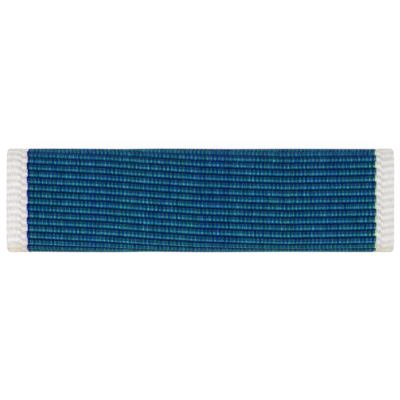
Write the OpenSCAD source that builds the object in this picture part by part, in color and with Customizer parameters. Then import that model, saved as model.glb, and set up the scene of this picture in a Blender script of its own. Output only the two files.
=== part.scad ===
// Service ribbon bar: a woven rep ribbon wrapped round a small metal bar.
// The bar lies on its back. X runs along the ribs, +Y is the bar's top edge and
// +Z is its front. The origin is under its middle, at the height of its back.

/* [Bar] */
// Width of the bar, from selvedge to selvedge of the ribbon
bar_w = 34.9; // [20:0.1:60]
// Height of the bar over the ribbon
bar_h = 9.28; // [8:0.02:14]

/* [Ribbon] */
// Thickness of the cloth in the grooves between its ribs
cloth_t = 0.5; // [0.3:0.05:0.8]
// Height of a rib over the grooves beside it
rib_h = 0.15; // [0.05:0.01:0.25]
// Distance from rib to rib
rib_pitch = 0.615; // [0.4:0.005:1]
// How far the ribs sink below their left ends
rib_sag = 1.22; // [0:0.01:1.6]
// Height of one groove over the bar's middle line, at the left end
groove_y = 0.35; // [0:0.01:1]
// Rounding of the selvedges
selvedge_r = 0.12; // [0.05:0.01:0.2]
// How far the two top corners are drawn in
top_corner = 0.14; // [0:0.01:0.4]
// How far the two bottom corners are drawn in
bottom_corner = 0.2; // [0:0.01:0.4]
// Length of ribbon over which a corner is drawn in, each way
corner_l = 0.8; // [0.4:0.1:1.6]

/* [Slide bar] */
// Thickness of the metal strip
strip_t = 0.35; // [0.25:0.05:0.6]
// Free height in the channel, for the rail of a holder
slot_h = 0.8; // [0.6:0.05:1.2]
// Free width between the covered lips, for the neck of the rail
neck_w = 2; // [1:0.1:3]
// How far the metal stops short of each selvedge
side_gap = 0.2; // [0.1:0.05:1]

/* [Fit] */
// Gap between the cloth and the metal
fit_gap = 0.03; // [0.02:0.01:0.1]
// How far the cut end of the cloth stops short of the metal's bend
tuck_gap = 0.1; // [0:0.05:0.3]

/* [Hidden] */
$fn = 64;
// Sag of the ribs: share of the bar's width, share of rib_sag
SAG = [
    [0, 0], [0.125, 0.15], [0.25, 0.33], [0.375, 0.58], [0.5, 0.8],
    [0.625, 0.93], [0.75, 1], [0.875, 0.94], [1, 0.91],
];
// Shares of rib_h at even steps over one rib, from its lower groove
RIB = [0, 0.8, 1, 0.8];
// Steps of the cloth's turn round the free edge of a lip
LIP_STEPS = 8;
// Columns of the rows
ALONG = 0;
RIBBED = 1;
// Columns of the sections
ACROSS = 0;
ROUNDED = 1;

// Cloth and metal lie in layers from the back: cloth, lip, cloth, slot, web, cloth
lip_r = cloth_t + fit_gap + strip_t / 2;
bar_t = 2 * lip_r + slot_h + strip_t + fit_gap + cloth_t;
// Each edge of the bar is a half round about one centre
edge_r = bar_t / 2;
edge_y = bar_h / 2 - rib_h - edge_r;
lip_y = neck_w / 2 + lip_r;
strip_r = edge_r - cloth_t - fit_gap;
strip_l = bar_w - 2 * side_gap;

// Lengths along the outer face of the ribbon, from the middle of the front
edge_s = edge_y + PI * edge_r / 2;
back_s = edge_y + PI * edge_r;
lip_s = back_s + edge_y - lip_y;
tuck_s = lip_s + PI * lip_r;
end_s = tuck_s + edge_y - tuck_gap - lip_y;

function clamp(v) = max(0, min(1, v));
function side(s) = s < 0 ? -1 : 1;
function turn(length, radius) = length / radius * 180 / PI;

// A place on the outer face at length s, "out" beyond the bottom of the grooves
function on_edge(s, out) = let (a = turn(abs(s) - edge_y, edge_r), r = edge_r + out)
    [side(s) * (edge_y + r * sin(a)), edge_r + r * cos(a)];
function on_lip(s, out) = let (a = turn(abs(s) - lip_s, lip_r), r = lip_r + out)
    [side(s) * (lip_y - r * sin(a)), lip_r - r * cos(a)];
function on_cloth(s, out) =
    abs(s) <= edge_y ? [s, bar_t + out] :
    abs(s) <= back_s ? on_edge(s, out) :
    abs(s) <= lip_s ? [side(s) * (edge_y + back_s - abs(s)), -out] :
    abs(s) <= tuck_s ? on_lip(s, out) :
    [side(s) * (lip_y + abs(s) - tuck_s), 2 * lip_r + out];

// Rows along the ribbon, as [length, share of rib_h]. Those with ribs sag, the others don't.
row_step = rib_pitch / len(RIB);
first_row = ceil((row_step / 2 - back_s - groove_y) / row_step);
last_row = floor((back_s - row_step / 2 - groove_y) / row_step);
function rib_part(i) = i - len(RIB) * floor(i / len(RIB));
rib_rows = [for (i = [first_row : last_row]) [groove_y + i * row_step, RIB[rib_part(i)]]];
lip_rows = [for (i = [0 : LIP_STEPS]) lip_s + (tuck_s - lip_s) * i / LIP_STEPS];
top_rows = [for (s = concat([back_s], lip_rows, [end_s])) [s, 0]];
bottom_rows = [for (i = [len(top_rows) - 1 : -1 : 0]) [-top_rows[i][ALONG], 0]];
rows = concat(bottom_rows, rib_rows, top_rows);

// The sag is whole on all that shows from the front, and runs out on the back of the edges
function sag_left(t) = t < 0 ? clamp((back_s + t) / (back_s - edge_s))
    : clamp((back_s - t) / (back_s - edge_s - rib_sag));
function row_s(t, share) = abs(t) >= back_s ? t : t - rib_sag * lookup(share, SAG) * sag_left(t);
// The ribs are whole from edge to edge of the front, and are pressed flat on the back
function rib_left(s) = clamp((back_s - abs(s)) / (back_s - edge_s));
// The corners are drawn in along the top and bottom edges
function drawn_in(s) = (s < 0 ? bottom_corner : top_corner)
    * pow(clamp(1 - abs(abs(s) - edge_s) / corner_l), 2);

// Sections across the ribbon, as [share of its width, how far its outer face is rounded off]
sections = concat(
    [[0, selvedge_r], [selvedge_r / bar_w, 0]],
    [for (i = [1 : len(SAG) - 2]) [SAG[i][ACROSS], 0]],
    [[1 - selvedge_r / bar_w, 0], [1, selvedge_r]]
);
function cloth_point(section, s, out) = let (place = on_cloth(s, out))
    [(section[ACROSS] - 0.5) * (bar_w - 2 * drawn_in(s)), place[0], place[1]];
function outer_point(section, row) = let (s = row_s(row[ALONG], section[ACROSS]))
    cloth_point(section, s, row[RIBBED] * rib_h * rib_left(s) - section[ROUNDED]);
function inner_point(section, row) =
    cloth_point(section, row_s(row[ALONG], section[ACROSS]), -cloth_t);

module ribbon() {
    count = len(rows);
    ring = 2 * count;
    last = len(sections) - 1;
    points = [
        for (section = sections) each concat(
            [for (i = [0 : count - 1]) outer_point(section, rows[i])],
            [for (i = [count - 1 : -1 : 0]) inner_point(section, rows[i])]
        )
    ];
    walls = [
        for (m = [0 : last - 1], i = [0 : ring - 1])
            let (j = (i + 1) % ring, a = m * ring, b = a + ring)
            each [[a + i, b + i, b + j], [a + i, b + j, a + j]]
    ];
    ends = [
        for (m = [0, last], i = [0 : count - 2])
            let (a = m * ring, p = a + i, q = a + ring - 1 - i)
            each (m == 0 ? [[p, p + 1, q - 1], [p, q - 1, q]] : [[p, q - 1, p + 1], [p, q, q - 1]])
    ];
    color([0.08, 0.3, 0.43])
        polyhedron(points = points, faces = concat(walls, ends), convexity = 8);
}

// Outline of the folded strip at a radius about the centres of its bends
module fold(r) {
    translate([-edge_y, edge_r - r])
        square([2 * edge_y, 2 * r]);
    for (y = [-edge_y, edge_y])
        translate([y, edge_r])
            circle(r = r);
}

module strip_section() {
    difference() {
        fold(strip_r);
        fold(strip_r - strip_t);
        translate([-lip_y, 0])
            square([2 * lip_y, edge_r]);
    }
    for (y = [-lip_y, lip_y])
        translate([y, lip_r])
            circle(r = strip_t / 2);
}

module slide_bar() {
    color("goldenrod")
        rotate([90, 0, 90])
            translate([0, 0, -strip_l / 2])
                linear_extrude(strip_l)
                    strip_section();
}

ribbon();
slide_bar();
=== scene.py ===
import math

import bmesh
import bpy
import numpy as np
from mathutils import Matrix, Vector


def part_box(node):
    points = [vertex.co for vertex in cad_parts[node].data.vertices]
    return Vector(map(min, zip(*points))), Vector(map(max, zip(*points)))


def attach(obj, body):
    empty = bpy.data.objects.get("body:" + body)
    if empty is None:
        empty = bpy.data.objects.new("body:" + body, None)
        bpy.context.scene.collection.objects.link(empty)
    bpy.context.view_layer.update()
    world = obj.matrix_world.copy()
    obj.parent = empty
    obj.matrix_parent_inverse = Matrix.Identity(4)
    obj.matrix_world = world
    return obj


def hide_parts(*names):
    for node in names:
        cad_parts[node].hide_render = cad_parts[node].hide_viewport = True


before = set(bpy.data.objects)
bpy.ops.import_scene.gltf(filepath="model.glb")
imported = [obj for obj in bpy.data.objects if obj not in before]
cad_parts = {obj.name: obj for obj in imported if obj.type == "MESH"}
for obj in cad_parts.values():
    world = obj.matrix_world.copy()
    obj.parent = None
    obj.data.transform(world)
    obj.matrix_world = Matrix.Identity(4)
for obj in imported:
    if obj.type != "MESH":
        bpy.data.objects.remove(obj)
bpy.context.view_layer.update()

scene = bpy.context.scene

# Camera. It looks straight down on the bar's front, with the top edge up the picture, as the
# photograph does. Its place follows from the bar's width and middle in the 400 pixel frame.
mm = 0.001
picture_px = 400
bar_px = 387.7
bar_middle_px = (200.4, 200.4)
lens_mm = 300
sensor_mm = 36

bar_low, bar_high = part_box("ribbon")
bar_middle = (bar_low + bar_high) / 2
px = (bar_high.x - bar_low.x) / bar_px
camera_height = px * picture_px * lens_mm / sensor_mm
camera_data = bpy.data.cameras.new("camera")
camera_data.lens = lens_mm
camera_data.sensor_width = sensor_mm
camera_data.clip_start = 10 * mm
camera = bpy.data.objects.new("camera", camera_data)
camera.location = (
    bar_middle.x + (picture_px / 2 - bar_middle_px[0]) * px,
    bar_middle.y - (picture_px / 2 - bar_middle_px[1]) * px,
    bar_high.z + camera_height,
)
scene.collection.objects.link(camera)
scene.camera = camera

# Floor. A plain pale sheet that the bar lies on, far larger than the view and a hair below the
# cloth. It gives off most of its own light, so that it stays white round the bar.
floor_size = 4
floor_gap = 0.02 * mm

floor_mesh = bmesh.new()
bmesh.ops.create_grid(floor_mesh, x_segments=1, y_segments=1, size=floor_size / 2)
bmesh.ops.translate(floor_mesh, verts=floor_mesh.verts, vec=(0, 0, bar_low.z - floor_gap))
floor_data = bpy.data.meshes.new("floor")
floor_mesh.to_mesh(floor_data)
floor_mesh.free()
floor = bpy.data.objects.new("floor", floor_data)
scene.collection.objects.link(floor)

floor_paint = bpy.data.materials.new("pale_floor")
floor_paint.use_nodes = True
floor_shader = floor_paint.node_tree.nodes["Principled BSDF"]
floor_shader.inputs["Base Color"].default_value = (0.1, 0.1, 0.1, 1)
floor_shader.inputs["Roughness"].default_value = 0.9
floor_shader.inputs["Specular IOR Level"].default_value = 0.1
floor_shader.inputs["Emission Color"].default_value = (1, 1, 1, 1)
floor_shader.inputs["Emission Strength"].default_value = 0.91
floor_data.materials.append(floor_paint)

# Light. A white room lights the bar evenly, and a soft round lamp stands high up before the
# bar's lower edge, so that each rib is brightest on its lower flank, as in the photograph.
room = bpy.data.worlds.new("white_room")
room.use_nodes = True
wall = room.node_tree.nodes["Background"]
wall.inputs["Color"].default_value = (1, 1, 1, 1)
wall.inputs["Strength"].default_value = 1.0
scene.world = room
scene.view_settings.view_transform = "Standard"

lamp = bpy.data.lights.new("soft_lamp", "AREA")
lamp.shape = "DISK"
lamp.size = 0.25
lamp.energy = 1.2
lamp_stand = bpy.data.objects.new("soft_lamp", lamp)
lamp_stand.location = (0, -0.275, 0.59)
lamp_stand.rotation_euler = (bar_middle - lamp_stand.location).to_track_quat("-Z", "Y").to_euler()
scene.collection.objects.link(lamp_stand)

# Ribbon. Warp-faced rep: fine dyed warp ends lie over thick weft cords, which make the ribs.
# One length of it is wrapped round the metal bar, front to back, and its cut ends are tucked
# into the channel. The cords sink to the right, and step half a rib near each selvedge.
cloth_t = 0.5 * mm
rib_h = 0.15 * mm
rib_pitch = 0.615 * mm
groove_y = 0.35 * mm
strip_t = 0.35 * mm
neck_w = 2 * mm
fit_gap = 0.03 * mm
tuck_gap = 0.1 * mm
selvedge_r = 0.12 * mm
top_corner = 0.14 * mm
bottom_corner = 0.2 * mm
corner_l = 0.8 * mm

# Depth of the grooves between the cords, and the share of it in the white stripes, which is
# larger on the ends nearest to the dyed centre
front_groove = 0.26 * mm
edge_groove = 0.2 * mm
back_groove = 0.08 * mm
outer_white_share = 0.1
inner_white_share = 0.28
left_inner_ends, right_inner_ends = 12, 6

# How far a float stands over the end beside it, and how far the crests rise over the CAD's
float_h = 0.035 * mm
swell = 0.07 * mm

# How far the cords slip towards the middle at the top edge, and the length that this builds up in
top_slip = 0.05 * mm
slip_run = 0.8 * mm

# Pitch of the warp ends, and the columns of the mesh where the dyed centre starts and stops
end_pitch = 0.0876 * mm
white_left, white_right = 21, 379

# Added to the count of the ribs, which keeps it above 0
rib_offset = 101

# Drop of the cords across the bar: share of its width, millimetres down
CORD_DROP = [
    (0, -0.28), (0.012, -0.375), (0.025, -0.355), (0.03, -0.33), (0.0365, -0.28), (0.0385, -0.01),
    (0.045, -0.015), (0.06, 0.06), (0.125, 0.17), (0.25, 0.385), (0.375, 0.7), (0.5, 0.98),
    (0.625, 1.145), (0.72, 1.245), (0.875, 1.17), (0.958, 1.115), (0.9645, 1.185), (0.9675, 1.475),
    (0.978, 1.43), (0.985, 1.35), (1, 1.32),
]
# Drift of the warp ends from even spacing: share of the bar's width, millimetres to the right
END_DRIFT = [
    (0, 0), (0.025, 0.055), (0.06, 0.05), (0.12, -0.03), (0.2, -0.055), (0.35, -0.05), (0.5, 0),
    (0.65, 0.015), (0.79, 0.055), (0.87, 0.04), (0.925, -0.005), (0.94, 0), (0.952, 0.055),
    (0.975, 0.055), (1, 0),
]
# Rows of the mesh over one rib: share of rib_pitch, share of its height
FRONT_RIB = [
    (0, 0), (0.08, 0.4), (0.2, 0.75), (0.32, 0.94), (0.44, 1), (0.6, 0.88), (0.78, 0.66), (0.92, 0.38),
]
BACK_RIB = [(0, 0), (0.28, 0.9), (0.72, 0.9)]

bar_w = bar_high.x - bar_low.x
bar_h = bar_high.y - bar_low.y
bar_t = bar_high.z - bar_low.z - rib_h
edge_r = bar_t / 2
edge_y = bar_h / 2 - rib_h - edge_r
lip_r = cloth_t + fit_gap + strip_t / 2
lip_y = neck_w / 2 + lip_r

# Lengths along the cloth's outer face, from the middle of the front
edge_s = edge_y + math.pi * edge_r / 2
back_s = edge_y + math.pi * edge_r
lip_s = back_s + edge_y - lip_y
tuck_s = lip_s + math.pi * lip_r
end_s = tuck_s + edge_y - tuck_gap - lip_y
most_drop = max(drop for share, drop in CORD_DROP) * mm

# Columns of the mesh, one for each warp end
ends = round(bar_w / end_pitch)
column = np.arange(ends + 1)
share_across = np.linspace(0, 1, ends + 1)
share_across += np.interp(share_across, *np.array(END_DRIFT).T) * mm / bar_w
drop = np.interp(share_across, *np.array(CORD_DROP).T) * mm
in_white = (column <= white_left) | (column >= white_right)
near_dye = (column > white_left - left_inner_ends) & (column < white_right + right_inner_ends)
white_share = np.where(near_dye, inner_white_share, outer_white_share)
in_rounding = np.maximum(0, selvedge_r - np.minimum(share_across, 1 - share_across) * bar_w)
rounded = selvedge_r - np.sqrt(np.maximum(0, selvedge_r**2 - in_rounding**2))


def round_bar(s, out):
    """(y, z) at length s along the cloth's outer face, "out" beyond the bottom of its grooves."""
    side, far = np.sign(s), np.abs(s)
    edge_turn = np.clip((far - edge_y) / edge_r, 0, np.pi)
    lip_turn = np.clip((far - lip_s) / lip_r, 0, np.pi)
    back_run = np.clip(far - back_s, 0, edge_y - lip_y)
    tuck_run = np.maximum(far - tuck_s, 0)
    y = np.minimum(far, edge_y) + edge_r * np.sin(edge_turn) - back_run
    y = y - lip_r * np.sin(lip_turn) + tuck_run
    z = edge_r * (1 + np.cos(edge_turn)) + lip_r * (1 - np.cos(lip_turn))
    facing = edge_turn + lip_turn
    return side * (y + out * np.sin(facing)), z + out * np.cos(facing)


def across_bar(s):
    """x of each column at length s, drawn in at the bar's corners."""
    corner = np.where(s < 0, bottom_corner, top_corner)
    drawn_in = corner * np.clip(1 - np.abs(np.abs(s) - edge_s) / corner_l, 0, 1) ** 2
    return (share_across - 0.5) * (bar_w - 2 * drawn_in)


def outer_rows():
    """Rows of the outer face, bottom cut end first: (length, rib count, share of the rib's height)."""
    first = math.ceil((-end_s - groove_y) / rib_pitch)
    last = math.floor((end_s - groove_y) / rib_pitch)
    rows = [(-end_s, first - 0.5, 1)]
    for rib in range(first, last + 1):
        start = groove_y + rib * rib_pitch
        shown = -edge_s - rib_pitch < start < edge_s + most_drop
        for share, height in FRONT_RIB if shown else BACK_RIB:
            length = start + share * rib_pitch
            if abs(length) < end_s - 0.1 * rib_pitch:
                rows.append((length, rib + share, height))
    return rows + [(end_s, last + 0.9, 1)]


def inner_lengths():
    """Lengths of the rows on the cloth's inner face, from the top cut end to the bottom one."""
    lip_steps, edge_steps = 3, 5
    half = [end_s]
    half += [tuck_s + (lip_s - tuck_s) * i / lip_steps for i in range(lip_steps + 1)]
    half += [back_s + (edge_y - back_s) * i / edge_steps for i in range(edge_steps + 1)]
    return half + [-s for s in reversed(half)]


def outer_row(length, rib, height):
    """Points of one row on the outer face, where every second warp end floats over the cord."""
    fade_from = lip_s + most_drop if length > 0 else lip_s
    s = length - drop * np.clip((end_s - abs(length)) / (end_s - fade_from), 0, 1)
    s -= np.interp(s, [edge_y, edge_y + slip_run, edge_s, back_s], [0, top_slip, top_slip, 0])
    rise = (rib_h + swell) * np.clip((back_s - np.abs(s)) / (back_s - edge_s), 0, 1)
    depth = np.interp(np.abs(s), [edge_y, edge_s, back_s], [front_groove, edge_groove, back_groove])
    white_dip = white_share * (0.5 + 0.5 * math.cos(2 * math.pi * rib))
    valley = depth * np.where(in_white, white_dip, 1 - height)
    sunk = float_h * height * ((column + math.floor(rib) + rib_offset) % 2)
    y, z = round_bar(s, rise - valley - sunk - rounded)
    return np.stack([across_bar(s), y, z], 1)


def inner_row(length):
    """Points of one row on the inner face, which is smooth."""
    s = np.full(ends + 1, length)
    y, z = round_bar(s, -cloth_t)
    return np.stack([across_bar(s), y, z], 1)


outer, inner = outer_rows(), inner_lengths()
places = [outer_row(*row) for row in outer] + [inner_row(length) for length in inner]
ribs = [rib for length, rib, height in outer] + [length / rib_pitch for length in inner]
places.append(places[0])
ribs.append(ribs[0])

# The grid is one sheet rolled shut: its first and last rows meet at the bottom cut end
cloth = bmesh.new()
weave_layer = cloth.verts.layers.float_vector.new("weave")
steps = len(places) - 1
bmesh.ops.create_grid(cloth, x_segments=ends, y_segments=steps, size=0.5)
for v in cloth.verts:
    i, j = round((v.co.x + 0.5) * ends), round((v.co.y + 0.5) * steps)
    v.co = places[j][i]
    v[weave_layer] = (i, ribs[j] + rib_offset, 0)
bmesh.ops.remove_doubles(cloth, verts=cloth.verts, dist=1e-7)
for face in cloth.faces:
    face.smooth = True
selvedges = [edge for edge in cloth.edges if edge.is_boundary]
bmesh.ops.holes_fill(cloth, edges=selvedges, sides=0)
bmesh.ops.recalc_face_normals(cloth, faces=cloth.faces)
ribbon_data = bpy.data.meshes.new("rep_ribbon")
cloth.to_mesh(ribbon_data)
cloth.free()
ribbon = bpy.data.objects.new("rep_ribbon", ribbon_data)
scene.collection.objects.link(ribbon)

# Ends beside the white stripes that are dyed apart: first end, last end, colour
EDGE_ENDS = [
    (21, 22, (0.038, 0.025, 0.48)), (24, 24, (0.052, 0.35, 0.32)), (373, 373, (0.05, 0.47, 0.19)),
    (376, 376, (0.024, 0.055, 0.5)), (377, 378, (0.12, 0.4, 0.21)),
]
# Streaks of the dye along the ribbon: first end, last end, tint
STREAKS = [
    (82, 94, (1.1, 1.0, 1.1)), (120, 123, (1.35, 1.2, 1.0)), (124, 131, (1.2, 1.13, 1.01)),
    (140, 147, (1.4, 1.28, 1.15)), (180, 183, (1.3, 1.2, 1.03)), (192, 206, (0.9, 0.95, 1.06)),
    (211, 230, (0.88, 0.87, 1.02)), (267, 270, (1.08, 1.17, 1.0)), (286, 291, (1.25, 1.12, 0.98)),
    (314, 329, (1.2, 1.05, 1.1)), (330, 339, (1.0, 0.9, 0.98)),
]
# Painted shade and highlight on a dyed float along its length: dark in the grooves, lightest on the lower
# flank. Place over the rib from its lower groove, colour
FLOAT_PAINTED_SHADE = [
    (0, (0.012, 0.24, 0.58)), (0.06, (0.045, 0.44, 0.72)), (0.13, (0.5, 0.88, 1)), (0.22, (1, 1, 1)),
    (0.36, (0.67, 0.67, 0.86)), (0.45, (0.07, 0.235, 0.45)), (0.58, (0.05, 0.37, 0.46)),
    (0.74, (0.27, 0.33, 0.46)), (0.84, (0.03, 0.07, 0.15)), (0.9, (0.004, 0.06, 0.18)),
    (0.95, (0.006, 0.16, 0.42)), (1, (0.012, 0.24, 0.58)),
]
# Painted shade on the edges and the back of the bar: dark in the grooves, with both flanks of a rib lit
# alike
EDGE_PAINTED_SHADE = [
    (0, (0.01, 0.1, 0.25)), (0.15, (0.2, 0.42, 0.58)), (0.35, (0.36, 0.63, 0.78)),
    (0.65, (0.36, 0.63, 0.78)), (0.85, (0.2, 0.42, 0.58)), (1, (0.01, 0.1, 0.25)),
]
# Painted light up the front: lightest at the lower edge, darker upwards and darkest just below the top
# rim. Share of the bar's height, colour
PAINTED_LIGHT_UP_FRONT = [
    (0, (1, 1, 1)), (0.07, (1, 1, 0.95)), (0.13, (0.85, 0.81, 0.81)), (0.3, (0.75, 0.77, 0.79)),
    (0.5, (0.7, 0.755, 0.79)), (0.72, (0.74, 0.745, 0.78)), (0.85, (0.66, 0.67, 0.74)),
    (0.95, (0.47, 0.5, 0.6)), (0.97, (0.58, 0.6, 0.7)), (0.985, (0.64, 0.74, 0.82)),
    (1, (0.66, 0.74, 0.82)),
]
# Shade of a white float along its length: place over the rib from its lower groove, share of light
WHITE_SHADE = [(0, 0.93), (0.13, 0.99), (0.3, 1.0), (0.42, 0.98), (0.55, 0.88), (0.8, 0.86), (1, 0.93)]

yarn = bpy.data.materials.new("woven_rep")
yarn.use_nodes = True
nodes, links = yarn.node_tree.nodes, yarn.node_tree.links
shader = nodes["Principled BSDF"]


def put(socket, value):
    """Links a socket, or sets a plain number or colour."""
    if isinstance(value, bpy.types.NodeSocket):
        links.new(value, socket)
    else:
        socket.default_value = value


def maths(operation, a, b=0.0):
    """The outcome of one operation on numbers or sockets."""
    node = nodes.new("ShaderNodeMath")
    node.operation = operation
    put(node.inputs[0], a)
    put(node.inputs[1], b)
    return node.outputs["Value"]


def blend(factor, a, b, mode="MIX"):
    """Colour a where the factor is 0, and b, or a and b together in the mode, where it is 1."""
    node = nodes.new("ShaderNodeMix")
    node.data_type = "RGBA"
    node.blend_type = mode
    put(node.inputs["Factor"], factor)
    put(node.inputs["A"], a)
    put(node.inputs["B"], b)
    return node.outputs["Result"]


def tinted(colour, tint, factor=1.0):
    """The colour times the tint, as far as the factor says."""
    return blend(factor, colour, tint, "MULTIPLY")


def remap(value, low, high, to_low, to_high):
    """Goes evenly from to_low to to_high as the value goes from low to high, and no further."""
    node = nodes.new("ShaderNodeMapRange")
    limits = {"Value": value, "From Min": low, "From Max": high, "To Min": to_low, "To Max": to_high}
    for name, number in limits.items():
        put(node.inputs[name], number)
    return node.outputs["Result"]


def ramp(value, stops):
    """Colours, or shades of grey, that follow one another as the value goes from 0 to 1."""
    node = nodes.new("ShaderNodeValToRGB")
    links.new(value, node.inputs["Fac"])
    marks = node.color_ramp.elements
    for at, tint in stops[1:-1]:
        marks.new(at)
    for mark, (at, tint) in zip(marks, stops):
        mark.position = at
        mark.color = (*tint, 1) if isinstance(tint, tuple) else (tint, tint, tint, 1)
    return node.outputs["Color"]


def point(x, y=0.0, z=0.0):
    """A vector of numbers or sockets."""
    node = nodes.new("ShaderNodeCombineXYZ")
    for socket, value in zip(node.inputs, (x, y, z)):
        put(socket, value)
    return node.outputs["Vector"]


def chance(x, y=0.0, z=0.0):
    """The same number from 0 to 1 for the same x, y and z."""
    node = nodes.new("ShaderNodeTexWhiteNoise")
    links.new(point(x, y, z), node.inputs["Vector"])
    return node.outputs["Value"]


def cloudy(at, scale, detail):
    """A number round 0.5 that wanders softly from place to place."""
    node = nodes.new("ShaderNodeTexNoise")
    node.inputs["Scale"].default_value = scale
    node.inputs["Detail"].default_value = detail
    links.new(at, node.inputs["Vector"])
    return node.outputs["Fac"]


def relief(height, distance, strength):
    """Small relief, no higher than the distance."""
    node = nodes.new("ShaderNodeBump")
    node.inputs["Strength"].default_value = strength
    node.inputs["Distance"].default_value = distance
    links.new(height, node.inputs["Height"])
    return node.outputs["Normal"]


# The weave attribute counts the warp ends across, and the ribs along. A float is two columns of
# the mesh wide, with its middle on one of them, and the floats of the next rib lie between.
thread = nodes.new("ShaderNodeAttribute")
thread.attribute_name = "weave"
split = nodes.new("ShaderNodeSeparateXYZ")
links.new(thread.outputs["Vector"], split.inputs["Vector"])
across, along = split.outputs["X"], split.outputs["Y"]
rib_count = maths("FLOOR", along)
rib_phase = maths("SUBTRACT", along, rib_count)
odd = maths("MODULO", rib_count, 2.0)
pair = maths("FLOOR", maths("MULTIPLY", maths("ADD", maths("SUBTRACT", across, odd), 1.0), 0.5))
end = maths("ADD", maths("MULTIPLY", pair, 2.0), odd)
off_middle = maths("SUBTRACT", across, end)
inside = maths("SUBTRACT", 1.0, maths("ABSOLUTE", off_middle))


def among(first, last):
    """1 on the warp ends from the first to the last, and 0 on the others."""
    return maths("MULTIPLY", maths("GREATER_THAN", end, first - 0.5), maths("LESS_THAN", end, last + 0.5))


# Where a place lies on the bar: how far up, whether on its front, and how near to its rims. What
# changes towards a rim starts so far from the bar's edge, and is whole a little before the edge.
yellowed_h = 0.95 * mm
top_rim_h, top_rim_whole = 0.75 * mm, 0.2 * mm
bottom_rim_h, bottom_rim_whole = 0.35 * mm, 0.05 * mm
place = nodes.new("ShaderNodeTexCoord")
place_parts = nodes.new("ShaderNodeSeparateXYZ")
links.new(place.outputs["Object"], place_parts.inputs["Vector"])
up, out_of_front = place_parts.outputs["Y"], place_parts.outputs["Z"]
top_y, bottom_y = bar_h / 2, -bar_h / 2
yellowing = remap(up, bottom_y + yellowed_h, bottom_y + bottom_rim_whole, 0.0, 1.0)
at_top = remap(up, top_y - top_rim_h, top_y - top_rim_whole, 0.0, 0.7)
at_bottom = remap(up, bottom_y + bottom_rim_h, bottom_y + bottom_rim_whole, 0.0, 0.4)
at_rim = maths("MAXIMUM", at_top, at_bottom)
up_bar = remap(up, bottom_y, top_y, 0.0, 1.0)
faces_front = remap(out_of_front, 0.5 * bar_t, 0.62 * bar_t, 0.0, 1.0)
middle_end = (white_left + white_right) / 2
on_right = maths("GREATER_THAN", across, middle_end)
in_centre = among(white_left, white_right - 1)
from_middle = maths("ABSOLUTE", maths("SUBTRACT", across, middle_end))
into_white = maths("SUBTRACT", from_middle, white_right - middle_end)

# Dyed centre: two green ends and two blue in turn, each end and each float a little different,
# with painted shade between the ends and a painted highlight along the middle of some floats
by_end = chance(end)
by_float = chance(end, rib_count, 3.0)
in_repeat = maths("FLOORED_MODULO", maths("SUBTRACT", end, white_left), 4.0)
is_green = maths("LESS_THAN", in_repeat, 1.5)
strayed = maths("MULTIPLY", chance(end, rib_count, 5.0), 0.26)
hue = maths("ABSOLUTE", maths("SUBTRACT", is_green, strayed))
blue = blend(by_end, (0.0026, 0.06, 0.365, 1), (0.0075, 0.102, 0.45, 1))
green = blend(by_end, (0.041, 0.342, 0.254, 1), (0.053, 0.403, 0.3, 1))
dyed = blend(hue, blue, green)
for first, last, tint in EDGE_ENDS:
    dyed = blend(among(first, last), dyed, (*tint, 1))
for first, last, tint in STREAKS:
    dyed = tinted(dyed, (*tint, 1), among(first, last))
# Painted highlight: a pale glint along the middle of some floats
painted_glint = maths("MULTIPLY", maths("POWER", chance(end, rib_count, 8.0), 3.0), inside)
dyed = blend(maths("MULTIPLY", painted_glint, 0.2), dyed, (0.32, 0.52, 0.62, 1))
dyed = tinted(dyed, remap(by_float, 0.0, 1.0, 0.78, 1.22))
# Painted shade between the ends, and a little lighter along the middle of each float
dyed = tinted(dyed, remap(inside, 0.0, 0.7, 0.72, 1.12))
# Painted shade over each rib, which on the front is evened out to one mid tone near the rims
front_painted_shade = blend(at_rim, ramp(rib_phase, FLOAT_PAINTED_SHADE), (0.31, 0.56, 0.68, 1))
dyed = tinted(dyed, blend(faces_front, ramp(rib_phase, EDGE_PAINTED_SHADE), front_painted_shade))
# Painted light up the front, from lightest at the lower edge to darkest below the top rim; the edges and
# back are darkened evenly
dyed = tinted(dyed, blend(faces_front, (0.76, 0.8, 0.82, 1), ramp(up_bar, PAINTED_LIGHT_UP_FRONT)))

# White stripes: the ribs show least at the selvedge, and the dye has bled into the nearest ends
beside_step = remap(into_white, 10.5, 7.5, 1.0, 1.6)
beside_dye = remap(into_white, 6.0, 0.0, 0.0, 1.0)
fringe = remap(into_white, 1.2, 0.4, 0.0, 1.0)
bled = blend(on_right, (0.93, 0.92, 0.97, 1), (0.93, 0.975, 0.955, 1))
fringe_tint = blend(on_right, (0.9, 0.88, 1.0, 1), (0.84, 0.97, 0.88, 1))
white = blend(by_float, (0.735, 0.712, 0.685, 1), (0.775, 0.762, 0.735, 1))
white = tinted(white, maths("POWER", ramp(rib_phase, WHITE_SHADE), beside_step))
white = tinted(white, blend(on_right, (1, 0.99, 1, 1), (0.965, 0.965, 0.98, 1)))
white = tinted(white, bled, beside_dye)
white = tinted(white, fringe_tint, fringe)
# Painted light: the white is lightened towards both rims, then made darker and warmer along the top rim
white = blend(maths("MULTIPLY", at_rim, 0.4), white, (1, 1, 1, 1))
white = tinted(white, (0.96, 0.94, 0.89, 1), at_top)
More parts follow.
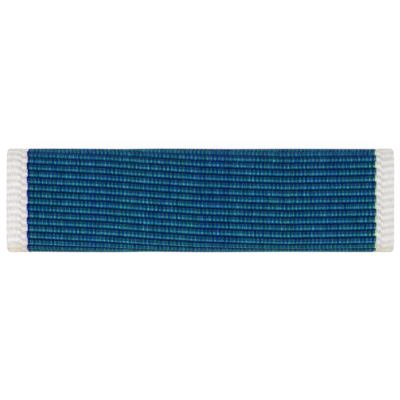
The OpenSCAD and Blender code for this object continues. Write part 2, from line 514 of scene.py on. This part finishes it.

# Both are uneven along each end, and yellower along the bar's lower edge
# The unevenness along the ends is partly slubs in the yarn and partly painted glints on the fibres
slub_and_glint = cloudy(point(across, maths("MULTIPLY", along, 3.5)), 1.0, 1.0)
dyed = tinted(dyed, remap(slub_and_glint, 0.3, 0.7, 0.55, 1.45))
white = tinted(white, remap(slub_and_glint, 0.3, 0.7, 0.94, 1.06))
dyed = tinted(dyed, (1, 1, 0.8, 1), yellowing)
white = tinted(white, (0.88, 0.84, 0.71, 1), yellowing)
put(shader.inputs["Base Color"], blend(in_centre, white, dyed))

# Each float bulges, tapers into its grooves and is spun of fine filaments
from_crest = maths("ABSOLUTE", maths("SUBTRACT", rib_phase, 0.5))
bulge = maths("SUBTRACT", 1.0, maths("MULTIPLY", off_middle, off_middle))
taper = maths("SUBTRACT", 1.0, maths("POWER", maths("MULTIPLY", from_crest, 2.0), 4.0))
filament = cloudy(point(maths("MULTIPLY", across, 4.0), maths("MULTIPLY", along, 1.5)), 1.0, 2.0)
height = maths("ADD", maths("MULTIPLY", bulge, taper), maths("MULTIPLY", filament, 0.5))
put(shader.inputs["Normal"], relief(height, 0.045 * mm, 1.0))
put(shader.inputs["Roughness"], remap(by_float, 0.0, 1.0, 0.38, 0.5))
shader.inputs["Specular IOR Level"].default_value = 0.03
ribbon_data.materials.append(yarn)

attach(ribbon, "root")
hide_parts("ribbon")

# Slide bar. One strip of brass, folded into a flat channel that the ribbon is wrapped round and
# that slides on a holder's rail. Rolling left fine lines along it, and it has dulled in patches.
brass = bpy.data.materials.new("rolled_brass")
brass.use_nodes = True
nodes, links = brass.node_tree.nodes, brass.node_tree.links
shader = nodes["Principled BSDF"]
place = nodes.new("ShaderNodeTexCoord")
stretch = nodes.new("ShaderNodeMapping")
stretch.inputs["Scale"].default_value = (150, 6000, 6000)
links.new(place.outputs["Object"], stretch.inputs["Vector"])
rolling = cloudy(stretch.outputs["Vector"], 1.0, 4.0)
stained = remap(cloudy(place.outputs["Object"], 350, 5.0), 0.4, 0.65, 0.0, 1.0)
put(shader.inputs["Base Color"], blend(stained, (0.72, 0.5, 0.2, 1), (0.5, 0.33, 0.13, 1)))
put(shader.inputs["Roughness"], remap(rolling, 0.3, 0.7, 0.26, 0.44))
put(shader.inputs["Normal"], relief(rolling, 0.004 * mm, 0.3))
shader.inputs["Metallic"].default_value = 1.0
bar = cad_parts["slide_bar"]
bar.data.materials.clear()
bar.data.materials.append(brass)
